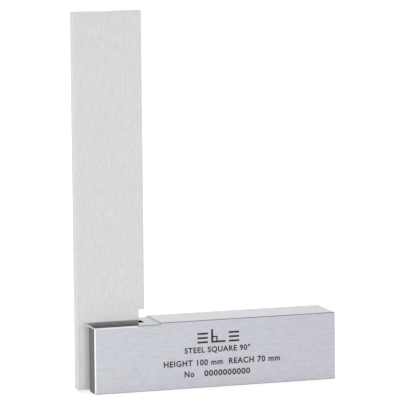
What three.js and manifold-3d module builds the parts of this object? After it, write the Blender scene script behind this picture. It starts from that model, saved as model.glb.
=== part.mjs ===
// A machinist's precision square with a wide base: a flat steel blade set into a slot in a steel stock and
// held by three dowel pins that are ground flush. Millimetres, +Z up. The square stands on its stock, the
// stock runs along X, and the origin is at the middle of the whole square's footprint.

import * as THREE from "three";
import { mergeVertices } from "three/addons/utils/BufferGeometryUtils.js";
import Module from "manifold-3d";

const wasm = await Module();
wasm.setup();

// Overall size: from the base face up to the blade's end, and from the blade's outer edge to the stock's far end.
const squareHeight = 100;
const squareReach = 70;

// Blade.
const bladeWidth = 18.3;
const bladeThickness = 3.5;
const bladeLift = 0.6; // the blade's foot stays this far above the base face
const bladeEdgeBreak = 0.05;

// Relief cut in the blade's inner edge, which keeps the inner corner clear.
const reliefDepth = 1.6;
const reliefAboveStock = 3.1;
const reliefBelowLand = 4.5;

// Stock.
const stockHeight = 18.1;
const stockThickness = 13;
const stockSetback = 3.1; // from the blade's outer edge in to the stock's near end
const stockEdgeBreak = 0.2;

// Land: the stock's top around the slot lies a little lower, and a short slope rises to the inner measuring face.
const landDrop = 0.45;
const landPastBlade = 2.6;
const slopeRun = 0.7;

// Dowel pins.
const pinDiameter = 3;
const pinWall = 2.8; // steel left between a pin and the nearest edge
const pinSides = 48;

const fitGap = 0.02; // what is left on each side of a piece in its slot or hole

// Heights and lengths that follow from those.
const landHeight = stockHeight - landDrop;
const slotEnd = bladeWidth + fitGap;
const slotWidth = bladeThickness + 2 * fitGap;
const slopeFoot = bladeWidth + landPastBlade;
const pinRadius = pinDiameter / 2;
const pinInset = pinWall + pinRadius;

// The pieces are drawn lying on their side: x along the stock, y up the blade, z through the thickness.

// An outline from corners [x, y, cut], where a cut takes the corner off that far along both of its sides.
function outline(corners) {
  const points = [];
  corners.forEach(([x, y, cut], i) => {
    const corner = new THREE.Vector2(x, y);
    if (!cut) {
      points.push(corner);
      return;
    }
    for (const step of [-1, 1]) {
      const [nextX, nextY] = corners.at((i + step) % corners.length);
      const along = new THREE.Vector2(nextX, nextY).sub(corner).setLength(cut);
      points.push(along.add(corner));
    }
  });
  return new THREE.Shape(points);
}

// A plate of that outline, centred on z = 0, with the edges of both faces broken.
function plate(shape, thickness, edgeBreak) {
  const geometry = new THREE.ExtrudeGeometry(shape, {
    depth: thickness - 2 * edgeBreak,
    bevelThickness: edgeBreak,
    bevelSize: edgeBreak,
    bevelOffset: -edgeBreak,
    bevelSegments: 1,
  });
  return geometry.translate(0, 0, edgeBreak - thickness / 2);
}

function solid(geometry) {
  const bare = geometry.clone().deleteAttribute("normal").deleteAttribute("uv");
  const merged = mergeVertices(bare, 1e-5);
  const vertProperties = merged.attributes.position.array;
  const triVerts = new Uint32Array(merged.index.array);
  return new wasm.Manifold(new wasm.Mesh({ numProp: 3, vertProperties, triVerts }));
}

function geometryOf(manifold) {
  const { vertProperties, triVerts } = manifold.getMesh();
  const geometry = new THREE.BufferGeometry();
  geometry.setAttribute("position", new THREE.BufferAttribute(vertProperties, 3));
  geometry.setIndex(new THREE.BufferAttribute(triVerts, 1));
  const faceted = geometry.toNonIndexed();
  faceted.computeVertexNormals();
  return faceted;
}

// A round bar across the thickness, standing on the z axis.
function bar(radius, length) {
  const geometry = new THREE.CylinderGeometry(radius, radius, length, pinSides);
  return geometry.rotateX(Math.PI / 2);
}

// Two pins low in the joint and one high between them, each as far from the nearest edge as pinInset.
function pinCentres() {
  const left = stockSetback + pinInset;
  const right = bladeWidth - pinInset;
  const low = bladeLift + pinInset;
  const high = landHeight - pinInset;
  return [
    [left, low],
    [right, low],
    [(left + right) / 2, high],
  ];
}

function drillPinHoles(body, length) {
  return pinCentres().reduce((left, [x, y]) => {
    const drill = bar(pinRadius + fitGap, length).translate(x, y, 0);
    return left.subtract(solid(drill));
  }, body);
}

function groundSteel() {
  return new THREE.MeshStandardMaterial({ color: 0xc4c5cc, roughness: 0.34, metalness: 1 });
}

function lappedSteel() {
  return new THREE.MeshStandardMaterial({ color: 0xd0d1d3, roughness: 0.3, metalness: 1 });
}

function pinSteel() {
  return new THREE.MeshStandardMaterial({ color: 0xbfc1c7, roughness: 0.36, metalness: 1 });
}

function named(name, geometry, material) {
  const mesh = new THREE.Mesh(geometry, material);
  mesh.name = name;
  return mesh;
}

// The stock: a block whose near end is forked by a slot that is open at that end, above and below.
function makeStock() {
  const block = plate(
    outline([
      [stockSetback, 0, stockEdgeBreak],
      [squareReach, 0, stockEdgeBreak],
      [squareReach, stockHeight, stockEdgeBreak],
      [slopeFoot + slopeRun, stockHeight, 0],
      [slopeFoot, landHeight, 0],
      [stockSetback, landHeight, stockEdgeBreak],
    ]),
    stockThickness,
    stockEdgeBreak,
  );
  const slot = new THREE.BoxGeometry(2 * slotEnd, 3 * stockHeight, slotWidth);
  const forked = solid(block).subtract(solid(slot));
  return named("stock", geometryOf(drillPinHoles(forked, 2 * stockThickness)), groundSteel());
}

// The blade: a flat bar that seats against the slot's closed end, with the relief cut at the inner corner.
function makeBlade() {
  const reliefLow = landHeight - reliefBelowLand;
  const reliefHigh = stockHeight + reliefAboveStock;
  const neckEdge = bladeWidth - reliefDepth;
  const strip = plate(
    outline([
      [0, bladeLift, bladeEdgeBreak],
      [bladeWidth, bladeLift, bladeEdgeBreak],
      [bladeWidth, reliefLow, 0],
      [neckEdge, reliefLow, 0],
      [neckEdge, reliefHigh, 0],
      [bladeWidth, reliefHigh, 0],
      [bladeWidth, squareHeight, bladeEdgeBreak],
      [0, squareHeight, bladeEdgeBreak],
    ]),
    bladeThickness,
    bladeEdgeBreak,
  );
  return named("blade", geometryOf(drillPinHoles(solid(strip), 2 * bladeThickness)), lappedSteel());
}

// A dowel pin, as long as the stock is thick: its ends are ground flush with the stock's sides.
function makePin(number, [x, y]) {
  const pin = named("dowel_pin_" + number, bar(pinRadius, stockThickness), pinSteel());
  pin.position.set(x, y, 0);
  return pin;
}

const drawn = new THREE.Group();
drawn.add(makeStock(), makeBlade());
pinCentres().forEach((centre, i) => drawn.add(makePin(i + 1, centre)));
drawn.rotation.x = Math.PI / 2;
drawn.position.x = -squareReach / 2;

const square = new THREE.Group();
square.add(drawn);

export default square;
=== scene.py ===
# A machinist's precision square with a wide base, standing on a pale studio floor.

import math

import bmesh
import bpy
from mathutils import Matrix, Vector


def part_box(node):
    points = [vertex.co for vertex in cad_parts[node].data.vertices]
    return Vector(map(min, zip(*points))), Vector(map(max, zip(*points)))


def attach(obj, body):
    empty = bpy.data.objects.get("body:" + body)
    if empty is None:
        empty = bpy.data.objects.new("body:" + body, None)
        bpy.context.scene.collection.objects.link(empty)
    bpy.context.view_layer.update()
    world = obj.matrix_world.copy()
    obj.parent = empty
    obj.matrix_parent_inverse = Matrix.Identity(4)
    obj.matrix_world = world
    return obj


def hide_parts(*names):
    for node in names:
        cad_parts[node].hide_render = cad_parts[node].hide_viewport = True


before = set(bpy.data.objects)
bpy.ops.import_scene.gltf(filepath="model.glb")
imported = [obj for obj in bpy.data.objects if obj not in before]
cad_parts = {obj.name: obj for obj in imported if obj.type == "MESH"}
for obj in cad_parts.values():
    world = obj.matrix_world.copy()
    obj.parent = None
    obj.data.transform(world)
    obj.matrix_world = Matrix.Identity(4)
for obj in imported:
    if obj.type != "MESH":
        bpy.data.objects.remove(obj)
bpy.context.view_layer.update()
mm = 0.001

stockLow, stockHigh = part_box("stock")
bladeLow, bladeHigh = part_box("blade")
pinBoxes = [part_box(f"dowel_pin_{number}") for number in (1, 2, 3)]

quarterTurn = Matrix.Rotation(math.pi / 2, 4, "X")  # stands up what lies flat, to face the front
usualNoise = (0.3, 0.7)                             # noise seldom goes past these values


class Wire:
    # A value on its way through a material's nodes. Sums on it add Math nodes.

    def __init__(self, finish, socket):
        self.finish = finish
        self.socket = socket

    def sum(self, operation, first, second):
        return self.finish.node("ShaderNodeMath", {"operation": operation}, {0: first, 1: second})

    def __add__(self, other):
        return self.sum("ADD", self, other)

    def __mul__(self, other):
        return self.sum("MULTIPLY", self, other)

    __radd__ = __add__
    __rmul__ = __mul__


class Finish:
    # A material being built up round one Principled shader.

    def __init__(self, name, metallic=1.0):
        self.material = bpy.data.materials.new(name)
        self.material.use_nodes = True
        self.tree = self.material.node_tree
        self.shader = self.tree.nodes["Principled BSDF"]
        self.set("Metallic", metallic)
        self.place = self.node("ShaderNodeTexCoord", output="Object")

    def feed(self, socket, value):
        if isinstance(value, Wire):
            self.tree.links.new(value.socket, socket)
        elif socket.type == "RGBA":
            socket.default_value = (*value, 1.0)
        else:
            socket.default_value = value

    def set(self, name, value):
        self.feed(self.shader.inputs[name], value)

    def node(self, kind, settings=None, inputs=None, output=0):
        made = self.tree.nodes.new(kind)
        for name, value in (settings or {}).items():
            setattr(made, name, value)
        for name, value in (inputs or {}).items():
            self.feed(made.inputs[name], value)
        return Wire(self, made.outputs[output])

    def noise(self, scale, detail=2.0, roughness=0.5):
        # scale is how many times the pattern changes per metre along x, y and z
        stretched = self.node("ShaderNodeMapping", inputs={"Vector": self.place, "Scale": scale})
        return self.node(
            "ShaderNodeTexNoise",
            inputs={"Vector": stretched, "Scale": 1.0, "Detail": detail, "Roughness": roughness},
        )

    def patches(self, perMetre, detail=2.0):
        # noise of one size in every direction
        return self.noise((perMetre, perMetre, perMetre), detail)

    def between(self, factor, low, high):
        # low where the noise is at its usual lowest, and high where it is at its highest
        start, end = usualNoise
        return self.node(
            "ShaderNodeMapRange",
            inputs={"Value": factor, "From Min": start, "From Max": end, "To Min": low, "To Max": high},
        )

    def tint(self, factor, first, second):
        return self.node(
            "ShaderNodeMix", {"data_type": "RGBA"}, {"Factor": factor, "A": first, "B": second}, output=2
        )

    def speckled(self, noise, looks):
        return self.tint(self.between(noise, 0.0, 1.0), looks["deep"], looks["pale"])

    def scaled(self, colour, shade):
        return self.node("ShaderNodeVectorMath", {"operation": "SCALE"}, {"Vector": colour, "Scale": shade})

    def axis(self, name):
        return self.node("ShaderNodeSeparateXYZ", inputs={"Vector": self.place}, output=name)

    def ramp(self, value, start, end):
        # 0 at start and 1 at end, and level outside them
        return self.node("ShaderNodeMapRange", inputs={"Value": value, "From Min": start, "From Max": end})

    def bump(self, height, distance):
        self.set("Normal", self.node("ShaderNodeBump", inputs={"Height": height, "Distance": distance}))


grinding = {
    "across": 1.8 / mm,        # how often the wheel's lines change across their run
    "acrossEnds": 1.6 / mm,    # the same on the end faces
    "along": 0.5 / mm,         # and how often along it
    "detail": 3.0,
    "roughness": 0.6,
    "mottle": 0.055,           # how far the lines change the tone
    "depth": 0.0006 * mm,
    "depthOnEnds": 0.002 * mm,
}


def grindMarks(finish, run, across=grinding["across"]):
    # fine lines left by the wheel, drawn out along one axis
    scale = [across, across, across]
    scale["xyz".index(run)] = grinding["along"]
    return finish.noise(tuple(scale), grinding["detail"], grinding["roughness"])


def mottled(finish, colour, marks, mottle=grinding["mottle"]):
    # the same colour, a little lighter and darker with the marks
    return finish.scaled(colour, finish.between(marks, 1.0 - mottle, 1.0 + mottle))


def fromMiddle(finish):
    # the distance from the square's middle plane
    return finish.node("ShaderNodeMath", {"operation": "ABSOLUTE"}, {0: finish.axis("Y")})


groundLooks = {
    "near": (0.56, 0.57, 0.61),    # painted shade: lighter at the blade's end, and darker at the far end
    "far": (0.49, 0.49, 0.54),
    "cool": (0.50, 0.53, 0.59),    # the faint stains that drift over it
    "warm": (0.55, 0.52, 0.56),
    "stainShare": 0.25,
    "stainsPerMetre": 160.0,
    "roughness": (0.11, 0.16),     # the lowest and the highest
}


def groundSteel():
    finish = Finish("ground_steel")
    lines = grindMarks(finish, "x")
    clouds = finish.patches(groundLooks["stainsPerMetre"])
    # painted shade: the steel's colour darkens from the blade's end towards the far end
    alongStock = finish.ramp(finish.axis("X"), stockLow.x, stockHigh.x)
    ends = finish.tint(alongStock, groundLooks["near"], groundLooks["far"])
    stains = finish.tint(finish.between(clouds, 0.0, 1.0), groundLooks["cool"], groundLooks["warm"])
    finish.set("Base Color", mottled(finish, finish.tint(groundLooks["stainShare"], ends, stains), lines))
    finish.set("Roughness", finish.between((lines + clouds) * 0.5, *groundLooks["roughness"]))
    finish.bump(lines, grinding["depth"])
    return finish.material


landLooks = {
    "colour": (0.43, 0.435, 0.46),
    "roughness": (0.05, 0.08),
}


def landSteel():
    finish = Finish("land_steel")
    lines = grindMarks(finish, "x")
    finish.set("Base Color", mottled(finish, landLooks["colour"], lines))
    finish.set("Roughness", finish.between(lines, *landLooks["roughness"]))
    return finish.material


cheekLooks = {
    "inner": (0.12, 0.125, 0.12),    # painted dark reflection on the tops beside the blade, next to it and darker at their outer edges
    "outer": (0.03, 0.026, 0.022),
    "metallic": 0.12,
    "specular": 0.1,
    "roughness": (0.1, 0.16),
}


# painted dark reflection: the cheek tops are coloured near-black, darkest at their outer edges
def cheekSteel():
    finish = Finish("cheek_steel", cheekLooks["metallic"])
    lines = grindMarks(finish, "x")
    outward = finish.ramp(fromMiddle(finish), bladeHigh.y, stockHigh.y)
    steel = finish.tint(outward, cheekLooks["inner"], cheekLooks["outer"])
    finish.set("Base Color", mottled(finish, steel, lines))
    finish.set("Roughness", finish.between(lines, *cheekLooks["roughness"]))
    finish.set("Specular IOR Level", cheekLooks["specular"])
    return finish.material


lappedLooks = {
    "colour": (0.617, 0.624, 0.637),
    "paintedLight": (0.84, 0.845, 0.85),    # painted light: the strip of the blade beside the stock's end, coloured brighter against the shade there
    "paintedLightWidth": 2.8 * mm,
    "cloudsPerMetre": 70.0,
    "mottle": 0.06,
    "metallic": 0.68,
    "anisotropic": 1.0,
    "roughness": (0.16, 0.19),
}


def lappedSteel():
    finish = Finish("lapped_steel", lappedLooks["metallic"])
    lines = grindMarks(finish, "z")
    clouds = finish.patches(lappedLooks["cloudsPerMetre"])
    nearStock = finish.ramp(finish.axis("X"), stockLow.x - lappedLooks["paintedLightWidth"], stockLow.x)
    belowTop = finish.ramp(finish.axis("Z"), stockHigh.z, stockHigh.z - lappedLooks["paintedLightWidth"])
    # painted light on the blade beside the stock's end and below its top
    steel = finish.tint(nearStock * belowTop, lappedLooks["colour"], lappedLooks["paintedLight"])
    finish.set("Base Color", mottled(finish, steel, lines, lappedLooks["mottle"]))
    finish.set("Roughness", finish.between((lines + clouds) * 0.5, *lappedLooks["roughness"]))
    finish.set("Anisotropic", lappedLooks["anisotropic"])
    finish.bump(lines, grinding["depth"])
    return finish.material


edgeShadeLooks = {
    "deep": (0.28, 0.28, 0.31),
    "pale": (0.38, 0.38, 0.41),
    "wearPerMetre": 400.0,
    "wearDetail": 3.0,
    "roughness": (0.14, 0.26),
}


# painted shade: the rounded edges away from the bright run are coloured darker than the faces, with wear
# patches in it
def paintedEdgeShade():
    finish = Finish("edge_shade")
    wear = finish.patches(edgeShadeLooks["wearPerMetre"], edgeShadeLooks["wearDetail"])
    finish.set("Base Color", finish.speckled(wear, edgeShadeLooks))
    finish.set("Roughness", finish.between(wear, *edgeShadeLooks["roughness"]))
    return finish.material


milledLooks = {
    "deep": (0.08, 0.09, 0.08),
    "pale": (0.20, 0.21, 0.20),
    "shadeWidth": 1.4 * mm,
    "shadeTone": 0.1,    # the share of the colour left where the painted shade is deepest
    "roughness": (0.24, 0.36),
}


def milledSteel():
    # the two end faces beside the blade, coloured dark as painted shade, and darker still towards their
    # sides and their foot
    finish = Finish("milled_steel")
    lines = grindMarks(finish, "y", grinding["acrossEnds"])
    width = milledLooks["shadeWidth"]
    sideways = fromMiddle(finish)
    outerSide = finish.ramp(sideways, stockHigh.y, stockHigh.y - width)
    innerSide = finish.ramp(sideways, bladeHigh.y, bladeHigh.y + width)
    foot = finish.ramp(finish.axis("Z"), stockLow.z, stockLow.z + width)
    # painted shade along the sides and the foot of the end faces
    unshaded = outerSide * innerSide * foot * (1.0 - milledLooks["shadeTone"]) + milledLooks["shadeTone"]
    finish.set("Base Color", finish.scaled(finish.speckled(lines, milledLooks), unshaded))
    finish.set("Roughness", finish.between(lines, *milledLooks["roughness"]))
    finish.bump(lines, grinding["depthOnEnds"])
    return finish.material


brightLooks = {
    "colour": (0.93, 0.93, 0.93),
    "nicksPerMetre": 700.0,
    "nickDetail": 3.0,
    "roughness": (0.12, 0.3),
}


# painted highlight: the rounded edges and strips near the blade's end are coloured near-white, with nicks in
# their roughness
def brightEdge():
    finish = Finish("bright_edge")
    nicks = finish.patches(brightLooks["nicksPerMetre"], brightLooks["nickDetail"])
    finish.set("Base Color", brightLooks["colour"])
    finish.set("Roughness", finish.between(nicks, *brightLooks["roughness"]))
    return finish.material


slotLooks = {
    "deep": (0.003, 0.003, 0.003),
    "pale": (0.012, 0.012, 0.011),
    "blotchesPerMetre": 900.0,
    "blotchDetail": 3.0,
    "specular": 0.1,
    "roughness": 0.9,
}


# painted shade: the slot's walls are coloured near-black, for the shade deep in the slot
def slotSteel():
    finish = Finish("slot_steel", metallic=0.0)
    blotches = finish.patches(slotLooks["blotchesPerMetre"], slotLooks["blotchDetail"])
    finish.set("Base Color", finish.speckled(blotches, slotLooks))
    finish.set("Roughness", slotLooks["roughness"])
    finish.set("Specular IOR Level", slotLooks["specular"])
    return finish.material


inkLooks = {
    "deep": (0.012, 0.01, 0.012),
    "pale": (0.05, 0.042, 0.045),
    "specklesPerMetre": 3000.0,
    "specular": 0.2,
    "roughness": (0.6, 0.8),
}


def etchedInk():
    finish = Finish("etched_mark", metallic=0.0)
    speckle = finish.patches(inkLooks["specklesPerMetre"])
    finish.set("Base Color", finish.speckled(speckle, inkLooks))
    finish.set("Roughness", finish.between(speckle, *inkLooks["roughness"]))
    finish.set("Specular IOR Level", inkLooks["specular"])
    return finish.material


edgeAngles = {         # in degrees
    "crisp": 46,       # sharper corners than this aren't shaded smooth
    "outward": 30,
    "rim": 60,
}


def meshOf(name, bm):
    mesh = bpy.data.meshes.new(name)
    bm.to_mesh(mesh)
    bm.free()
    return mesh


def put(name, data):
    made = bpy.data.objects.new(name, data)
    bpy.context.scene.collection.objects.link(made)
    return made


def bmeshOf(thing):
    # the thing as it stands, with its modifiers or its letters worked out
    graph = bpy.context.evaluated_depsgraph_get()
    bm = bmesh.new()
    bm.from_mesh(bpy.data.meshes.new_from_object(thing.evaluated_get(graph)))
    return bm


def show(name, bm, materials, node=None):
    # a finished piece: its place is in its mesh, and it rides on the square
    piece = put(name, meshOf(name, bm))
    for material in materials:
        piece.data.materials.append(material)
    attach(piece, "root")
    if node:
        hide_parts(node)
    return piece


def softenShading(piece):
    # rounded edges shade smoothly, and corners sharper than a rounded edge's facets stay crisp
    for face in piece.data.polygons:
        face.use_smooth = True
    piece.data.set_sharp_from_angle(angle=math.radians(edgeAngles["crisp"]))
    weighted = piece.modifiers.new("even_shading", "WEIGHTED_NORMAL")
    weighted.weight = 100  # the large flat faces count most
    weighted.keep_sharp = True
    return piece


def sweptPlate(corners, sweep):
    # a flat outline, swept one way into a closed plate
    bm = bmesh.new()
    outline = bm.faces.new([bm.verts.new(corner) for corner in corners])
    grown = bmesh.ops.extrude_face_region(bm, geom=[outline])
    moved = [item for item in grown["geom"] if isinstance(item, bmesh.types.BMVert)]
    bmesh.ops.translate(bm, verts=moved, vec=sweep)
    bmesh.ops.recalc_face_normals(bm, faces=bm.faces)
    return bm


def breakEdges(bm, edges, size, segments):
    return bmesh.ops.bevel(
        bm, geom=edges, offset=size, offset_type="OFFSET", segments=segments, profile=0.5,
        affect="EDGES", material=-1, clamp_overlap=True,
    )["faces"]


def outwardEdges(bm):
    return [edge for edge in bm.edges if edge.calc_face_angle_signed() > math.radians(edgeAngles["outward"])]


def score(bm, faces, place, direction):
    # a line across the faces, which changes their finish or slope there and not their shape
    cut = dict.fromkeys(faces)
    for face in faces:
        cut.update(dict.fromkeys([*face.edges, *face.verts]))
    bmesh.ops.bisect_plane(bm, geom=list(cut), plane_co=place, plane_no=direction)


pinShape = {
    "sides": 96,
    "pressFit": 0.004 * mm,    # the hairline between a pin and its hole
    "drillLength": 1.5,        # of the pin's own length
    "endBreak": 0.01 * mm,
}


def addRod(bm, low, high, spare=0.0, stretch=1.0):
    # a round bar from front to back through a pin's box
    radius = (high.x - low.x) / 2 + spare
    bmesh.ops.create_cone(
        bm, cap_ends=True, segments=pinShape["sides"], radius1=radius, radius2=radius,
        depth=(high.y - low.y) * stretch, matrix=Matrix.Translation((low + high) / 2) @ quarterTurn,
    )


def drill(bm):
    # cuts the three pin holes right through
    cutter = bmesh.new()
    for low, high in pinBoxes:
        addRod(cutter, low, high, pinShape["pressFit"], pinShape["drillLength"])
    target = put("drilled", meshOf("drilled", bm))
    tool = put("drill", meshOf("drill", cutter))
    cut = target.modifiers.new("holes", "BOOLEAN")
    cut.object = tool
    cut.operation = "DIFFERENCE"
    cut.solver = "EXACT"
    drilled = bmeshOf(target)
    for thing in (target, tool):
        bpy.data.objects.remove(thing)
    return drilled


stockShape = {
    "landDrop": 0.45 * mm,      # the top round the slot lies this much lower
    "landPastBlade": 2.6 * mm,
    "slopeRun": 0.7 * mm,
    "edgeBreak": 0.2 * mm,
    "edgeSegments": 3,
    "brightLength": 12.0 * mm,  # painted highlight: the edges are coloured bright this far from the near end and this far onto the sides and the ends
    "brightStrip": 0.15 * mm,   # and this far onto the sides and the ends
    "fitGap": 0.02 * mm,
}

stockFinishes = {  # in the order of the stock's material slots
    "ground": groundSteel,
    "bright": brightEdge,
    "milled": milledSteel,
    "slot": slotSteel,
    "shadedEdge": paintedEdgeShade,
    "land": landSteel,
    "cheek": cheekSteel,
}

squarely = 0.99  # a face looks along an axis when its normal has at least this much of it


def makeStock():
    shape = stockShape
    slack = shape["fitGap"]  # for picking faces and edges by their place
    slotEnd = bladeHigh.x + shape["fitGap"]
    halfSlot = bladeHigh.y + shape["fitGap"]
    landHeight = stockHigh.z - shape["landDrop"]
    slopeFoot = bladeHigh.x + shape["landPastBlade"]
    slopeTop = slopeFoot + shape["slopeRun"]
    brightEnd = stockLow.x + shape["brightLength"]
    polished = shape["edgeBreak"] + shape["brightStrip"]
    sideStrip = stockLow.x + polished
    topStrip = landHeight - polished
    plan = [
        (stockLow.x, stockLow.y), (stockHigh.x, stockLow.y),
        (stockHigh.x, stockHigh.y), (stockLow.x, stockHigh.y),
        (stockLow.x, halfSlot), (slotEnd, halfSlot),
        (slotEnd, -halfSlot), (stockLow.x, -halfSlot),
    ]
    bm = sweptPlate([(x, y, stockLow.z) for x, y in plan], (0, 0, landHeight - stockLow.z))
    for x in (brightEnd, slopeFoot, slopeTop):
        score(bm, [face for face in bm.faces if face.normal.z > squarely], (x, 0, 0), (1, 0, 0))
    raised = [v for v in bm.verts if v.co.z > landHeight / 2 and v.co.x > slopeTop - slack]
    bmesh.ops.translate(bm, verts=raised, vec=(0, 0, shape["landDrop"]))
    bm.normal_update()

    def inSlot(edge):
        return all(abs(v.co.y) < halfSlot + slack and v.co.x < slotEnd + slack for v in edge.verts)

    def onRidge(edge):
        return all(abs(v.co.x - slopeTop) < slack for v in edge.verts)

    def paint(face, finish):
        face.material_index = list(stockFinishes).index(finish)

    outer = [edge for edge in outwardEdges(bm) if not inSlot(edge) and not onRidge(edge)]
    for face in breakEdges(bm, outer, shape["edgeBreak"], shape["edgeSegments"]):
        middle = face.calc_center_median()
        # painted highlight on the rounded edges near the blade's end, painted shade on the rest
        bright = middle.x < brightEnd and middle.z > shape["edgeBreak"]
        paint(face, "bright" if bright else "shadedEdge")
    for place, direction in (
        ((sideStrip, 0, 0), (1, 0, 0)), ((brightEnd, 0, 0), (1, 0, 0)), ((0, 0, topStrip), (0, 0, 1)),
    ):
        score(bm, [face for face in bm.faces if abs(face.normal.z) < 1 - squarely], place, direction)
    # painted shade in the slot, on the end faces and on the cheek tops, and painted highlight on the strips
    # by the edges
    for face in bm.faces:
        middle = face.calc_center_median()
        onSide = abs(face.normal.y) > squarely
        if face.normal.x < -squarely and middle.x > bladeHigh.x:
            paint(face, "slot")
        elif face.normal.x < -squarely:
            paint(face, "bright" if middle.z > topStrip else "milled")
        elif onSide and abs(middle.y) < halfSlot + slack:
            paint(face, "slot")
        elif onSide and (middle.x < sideStrip or (middle.z > topStrip and middle.x < brightEnd)):
            paint(face, "bright")
        elif face.normal.z > squarely and middle.x < slopeFoot:
            paint(face, "cheek" if middle.x < brightEnd else "land")
    finishes = [makeFinish() for makeFinish in stockFinishes.values()]
    return softenShading(show("square_stock", drill(bm), finishes, "stock"))


bladeShape = {
    "reliefDepth": 1.6 * mm,
    "reliefAboveStock": 3.1 * mm,
    "reliefBelowLand": 4.5 * mm,
    "edgeBreak": 0.05 * mm,
    "edgeSegments": 2,
}


def makeBlade():
    shape = bladeShape
    reliefHigh = stockHigh.z + shape["reliefAboveStock"]
    reliefLow = stockHigh.z - stockShape["landDrop"] - shape["reliefBelowLand"]
    neck = bladeHigh.x - shape["reliefDepth"]
    outline = [
        (bladeLow.x, bladeLow.z), (bladeHigh.x, bladeLow.z),
        (bladeHigh.x, reliefLow), (neck, reliefLow),
        (neck, reliefHigh), (bladeHigh.x, reliefHigh),
        (bladeHigh.x, bladeHigh.z), (bladeLow.x, bladeHigh.z),
    ]
    bm = sweptPlate([(x, bladeLow.y, z) for x, z in outline], (0, bladeHigh.y - bladeLow.y, 0))
    breakEdges(bm, outwardEdges(bm), shape["edgeBreak"], shape["edgeSegments"])
    return softenShading(show("square_blade", drill(bm), [lappedSteel()], "blade"))


def makePin(number, low, high, material):
    bm = bmesh.new()
    addRod(bm, low, high)
    rims = [edge for edge in bm.edges if edge.calc_face_angle() > math.radians(edgeAngles["rim"])]
    breakEdges(bm, rims, pinShape["endBreak"], segments=1)
    piece = show(f"flush_pin_{number}", bm, [material], f"dowel_pin_{number}")
    return softenShading(piece)


marks = {
    "depth": 0.012 * mm,     # half of it stands proud of the stock's face
    "capHeight": 1.55 * mm,
    "boldness": 0.03,        # how far each stroke is widened, in the lettering's own units
    "spacing": 1.12,
    "curveSteps": 6,
    "joinWithin": 1e-5,      # corners nearer than this become one, in the same units
    "rows": [                # text, x and z of its left end, and its length
        ("STEEL SQUARE 90°", -7.2 * mm, 9.45 * mm, 18.3 * mm),
        ("HEIGHT 100 mm  REACH 70 mm", -13.0 * mm, 6.05 * mm, 32.4 * mm),
        ("No", -7.3 * mm, 3.1 * mm, 2.7 * mm),
        ("0000000000", -1.8 * mm, 3.1 * mm, 12.8 * mm),
    ],
}


def writtenMark(text, left, base, length):
    # lettering as a mesh, sized to its cap height and its row, then stood on the stock's front face
    curve = bpy.data.curves.new("lettering", "FONT")
    curve.body = text
    curve.resolution_u = marks["curveSteps"]
    curve.fill_mode = "BOTH"
    curve.extrude = 0.5  # to each side, so the letters are one unit thick before they are sized
    curve.offset = marks["boldness"]
    curve.space_character = marks["spacing"]
    lettering = put("lettering", curve)
    bm = bmeshOf(lettering)
    bpy.data.objects.remove(lettering)
    bmesh.ops.remove_doubles(bm, verts=bm.verts, dist=marks["joinWithin"])
    xs = [v.co.x for v in bm.verts]
    capHeight = max(v.co.y for v in bm.verts)
    bmesh.ops.translate(bm, verts=bm.verts, vec=(-min(xs), 0, 0))
    size = (length / (max(xs) - min(xs)), marks["capHeight"] / capHeight, marks["depth"])
    bmesh.ops.scale(bm, verts=bm.verts, vec=size)
    bmesh.ops.rotate(bm, verts=bm.verts, matrix=quarterTurn.to_3x3())
    bmesh.ops.translate(bm, verts=bm.verts, vec=(left, stockLow.y, base))
    return bm


rightAngle = {
    "corner": (0.2 * mm, 11.9 * mm),    # x and z on the stock's front face
    "sign": [                           # left, right, low and high from the corner, in millimetres
        (0.0, 0.55, 0.0, 3.6),
        (0.55, 4.0, 0.0, 0.5),
        (0.55, 1.8, 1.4, 1.8),
        (1.4, 1.8, 0.5, 1.4),
    ],
    "ruleSpans": [(-3.8, -0.9), (4.9, 7.8)],
    "ruleFeet": [0.0, 1.15, 2.3],
    "ruleStroke": 0.5,
}


def rightAngleMark():
    # an upright, a foot and a small square in their corner, between two sets of rules
    bars = list(rightAngle["sign"])
    for low in rightAngle["ruleFeet"]:
        for left, right in rightAngle["ruleSpans"]:
            bars.append((left, right, low, low + rightAngle["ruleStroke"]))
    bm = bmesh.new()
    for left, right, low, high in bars:
        size = Matrix.Diagonal(((right - left) * mm, marks["depth"], (high - low) * mm, 1.0))
        centre = Matrix.Translation(((left + right) / 2 * mm, 0, (low + high) / 2 * mm))
        bmesh.ops.create_cube(bm, size=1.0, matrix=centre @ size)
    x, z = rightAngle["corner"]
    bmesh.ops.translate(bm, verts=bm.verts, vec=(x, stockLow.y, z))
    return bm


def makeMarks():
    material = etchedInk()
    for number, (text, left, base, length) in enumerate(marks["rows"], 1):
        show(f"etched_row_{number}", writtenMark(text, left, base, length), [material])
    show("etched_right_angle", rightAngleMark(), [material])


studio = {
    "worldStrength": 0.97,
    "floorSize": (8.0, 8.0),
    "floorColour": (0.35, 0.35, 0.35),
    "floorGlow": 0.67,
    "cardSize": (1.4, 1.0),
    "cardPlace": (0.8, -1.7, 0.56),
    "cardColour": (0.02, 0.02, 0.02),
    "roughness": 0.9,          # of the floor and the card
    "lampPlace": (-0.2, -0.4, 3.0),
    "lampSize": 3.0,
    "lampPower": 32.0,
}

white = (1.0, 1.0, 1.0)


def plainMaterial(name, colour, glow=0.0):
    finish = Finish(name, metallic=0.0)
    finish.set("Base Color", colour)
    finish.set("Roughness", studio["roughness"])
    finish.set("Emission Color", white)
    finish.set("Emission Strength", glow)
    return finish.material


def stagePlane(name, size, place, material):
    bm = bmesh.new()
    bmesh.ops.create_grid(bm, x_segments=1, y_segments=1, size=0.5)  # a metre each way
    bmesh.ops.scale(bm, verts=bm.verts, vec=(*size, 1))
    bmesh.ops.transform(bm, matrix=place, verts=bm.verts)
    plane = put(name, meshOf(name, bm))
    plane.data.materials.append(material)
    return plane


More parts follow.
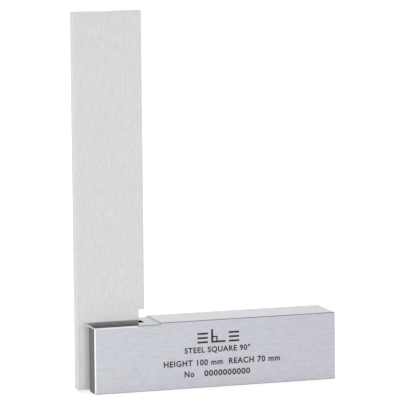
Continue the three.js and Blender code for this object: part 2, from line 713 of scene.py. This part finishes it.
def makeStudio():
    floorWhite = plainMaterial("floor_white", studio["floorColour"], studio["floorGlow"])
    stagePlane("studio_floor", studio["floorSize"], Matrix.Identity(4), floorWhite)
    cardPlace = Matrix.Translation(studio["cardPlace"]) @ quarterTurn
    cardBlack = plainMaterial("card_black", studio["cardColour"])
    card = stagePlane("dark_card", studio["cardSize"], cardPlace, cardBlack)
    card.visible_camera = False  # it is only there for the steel to mirror
    card.visible_diffuse = False
    world = bpy.data.worlds.new("studio_light")
    world.use_nodes = True
    background = world.node_tree.nodes["Background"]
    background.inputs["Color"].default_value = (*white, 1.0)
    background.inputs["Strength"].default_value = studio["worldStrength"]
    bpy.context.scene.world = world
    lamp = bpy.data.lights.new("overhead_softbox", "AREA")
    lamp.shape = "SQUARE"
    lamp.size = studio["lampSize"]
    lamp.energy = studio["lampPower"]
    holder = put("overhead_softbox", lamp)
    holder.location = studio["lampPlace"]
    holder.visible_glossy = False  # it lights the square and isn't mirrored in it
    bpy.context.scene.view_settings.view_transform = "Standard"


cameraView = {
    "place": (-0.27740, -0.85199, 0.16401),
    "turnedRight": 18.008,   # degrees from looking straight at the front face
    "tippedDown": 7.304,
    "rolled": -0.538,
    "lens": 307.33,
    "sensor": 36.0,
    "nearest": 0.01,
    "farthest": 50.0,
}


def makeCamera():
    data = bpy.data.cameras.new("camera")
    data.lens = cameraView["lens"]
    data.sensor_width = cameraView["sensor"]
    data.clip_start = cameraView["nearest"]
    data.clip_end = cameraView["farthest"]
    camera = put("camera", data)
    turn = Matrix.Rotation(-math.radians(cameraView["turnedRight"]), 4, "Z")
    tip = Matrix.Rotation(math.radians(90 - cameraView["tippedDown"]), 4, "X")
    roll = Matrix.Rotation(math.radians(cameraView["rolled"]), 4, "Z")
    camera.matrix_world = Matrix.Translation(cameraView["place"]) @ turn @ tip @ roll
    bpy.context.scene.camera = camera


makeCamera()
makeStudio()
print("camera and studio set")
squareStock = makeStock()
print("stock made")
makeBlade()
print("blade made")
for number, (low, high) in enumerate(pinBoxes, 1):
    makePin(number, low, high, squareStock.data.materials[0])
print("pins made")
makeMarks()
print("marks made")
